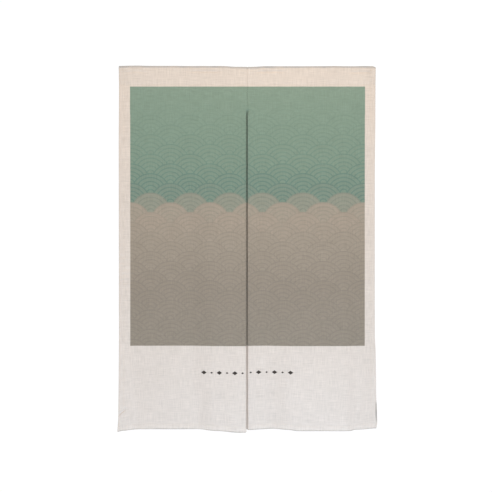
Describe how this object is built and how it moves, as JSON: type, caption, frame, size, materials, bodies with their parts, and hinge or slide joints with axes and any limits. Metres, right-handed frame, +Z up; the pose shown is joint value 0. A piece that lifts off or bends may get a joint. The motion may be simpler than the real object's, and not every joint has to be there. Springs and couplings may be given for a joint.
{
  "type": "partition curtain",
  "caption": "Doorway partition curtain: hung cloth panels sewn side by side above a lapped centre slit, with an open rod pocket along the top edge.",
  "frame": {"origin": "on the axis of the rod pocket along the top edge, at the middle of the curtain's width", "axes": "+Z up; +X along the rod, to the right seen from the front; the printed face looks along -Y"},
  "size_m": [0.8555, 0.0294, 1.2051],
  "materials": {
    "cotton_linen": "matte plain weave, unbleached, printed on the face"
  },
  "bodies": {
    "root": {"heading_left": "cotton_linen", "heading_right": "cotton_linen", "panel_left": "cotton_linen", "panel_right": "cotton_linen"}
  },
  "joints": []
}
